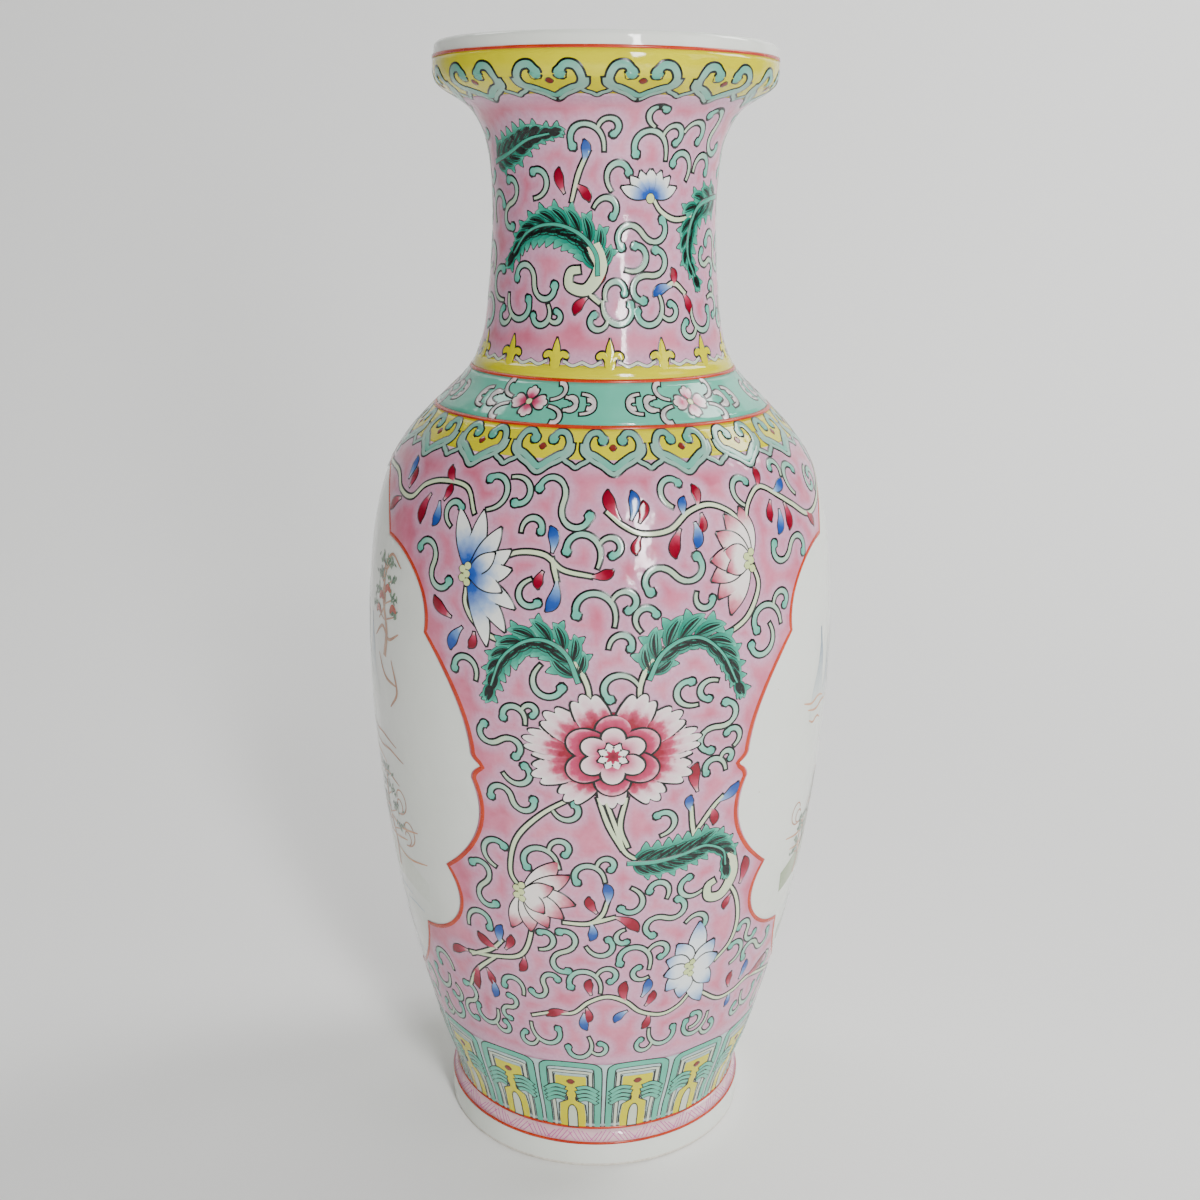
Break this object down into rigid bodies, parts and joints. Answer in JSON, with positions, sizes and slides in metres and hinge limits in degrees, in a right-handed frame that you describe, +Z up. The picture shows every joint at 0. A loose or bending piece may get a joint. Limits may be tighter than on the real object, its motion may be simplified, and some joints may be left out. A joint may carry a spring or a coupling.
{
  "type": "porcelain vase",
  "caption": "Tall porcelain baluster vase with a dished mouth, waisted neck and recessed foot, enamelled in colours over the glaze.",
  "frame": {"origin": "centre of the standing plane under the foot ring, on the axis of the vase", "axes": "+Z up along the axis of the vase, +X towards the middle of one reserved panel and -X towards the other, -Y towards the middle of one flowered field"},
  "size_m": [0.1922, 0.1928, 0.45],
  "materials": {
    "porcelain_body": "matte unglazed porcelain",
    "slip": "matte fired slip",
    "clear_glaze": "gloss clear glaze over white porcelain",
    "pink_enamel": "gloss rose enamel",
    "yellow_enamel": "gloss yellow enamel",
    "turquoise_enamel": "gloss turquoise enamel",
    "iron_red_enamel": "iron red enamel line"
  },
  "bodies": {
    "root": {"foot_section": "porcelain_body", "lower_body_section": "porcelain_body", "upper_body_section": "porcelain_body", "neck_section": "porcelain_body", "mouth_section": "porcelain_body", "luting_slip_foot": "slip", "luting_slip_belly": "slip", "luting_slip_neck": "slip", "luting_slip_mouth": "slip", "glaze_coat": "clear_glaze", "base_glaze": "clear_glaze", "enamel_mouth_yellow": "yellow_enamel", "enamel_neck_pink": "pink_enamel", "enamel_neck_yellow": "yellow_enamel", "enamel_shoulder_turquoise": "turquoise_enamel", "enamel_shoulder_yellow": "yellow_enamel", "enamel_body_pink": "pink_enamel", "enamel_lappet_band": "turquoise_enamel", "enamel_foot_pink": "pink_enamel", "iron_red_line_mouth": "iron_red_enamel", "iron_red_line_neck": "iron_red_enamel", "iron_red_line_shoulder": "iron_red_enamel", "iron_red_line_foot_upper": "iron_red_enamel", "iron_red_line_foot_lower": "iron_red_enamel", "iron_red_panel_outline_right": "iron_red_enamel", "iron_red_panel_outline_left": "iron_red_enamel"}
  },
  "joints": []
}
